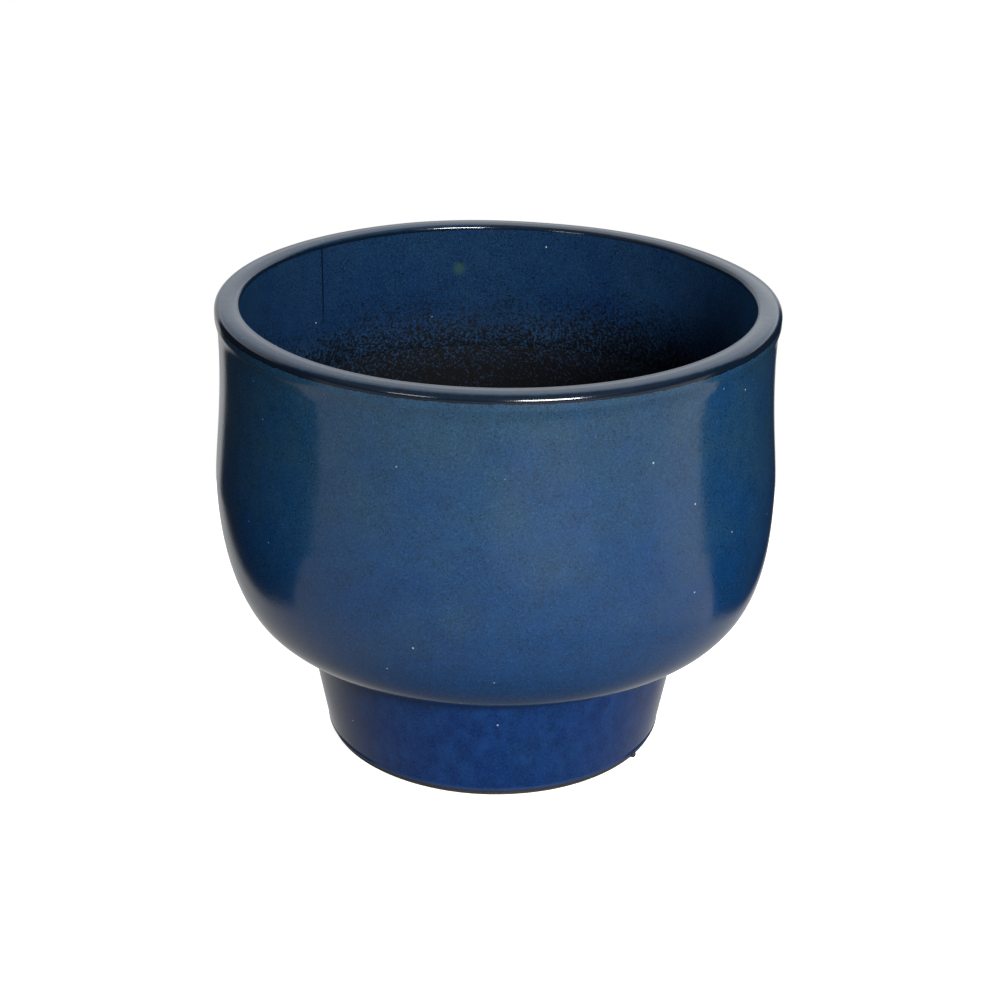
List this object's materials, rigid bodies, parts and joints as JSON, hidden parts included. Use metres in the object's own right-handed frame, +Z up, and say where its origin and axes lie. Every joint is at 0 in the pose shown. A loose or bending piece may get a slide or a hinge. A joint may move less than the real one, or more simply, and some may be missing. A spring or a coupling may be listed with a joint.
{
  "type": "footed planter",
  "caption": "Round planter bowl of glazed stoneware with a rolled rim, a drain hole and a hollow foot ring; holds soil or a grow pot.",
  "frame": {"origin": "centre of the foot ring's bottom face, on the ground", "axes": "+Z up along the axis of revolution; the body is round, so X and Y are interchangeable"},
  "size_m": [0.36, 0.36, 0.296],
  "materials": {
    "bowl_clay": "bare fired stoneware, matt",
    "foot_clay": "bare fired stoneware, matt",
    "slip_clay": "fired joining slip, matt",
    "outer_blue": "glossy cobalt glaze",
    "inner_blue": "glossy cobalt glaze, thinner",
    "foot_blue": "glossy cobalt glaze"
  },
  "bodies": {
    "root": {"bowl": "bowl_clay", "foot_ring": "foot_clay", "luting_slip": "slip_clay", "outer_glaze": "outer_blue", "inner_glaze": "inner_blue", "foot_glaze": "foot_blue"}
  },
  "joints": []
}
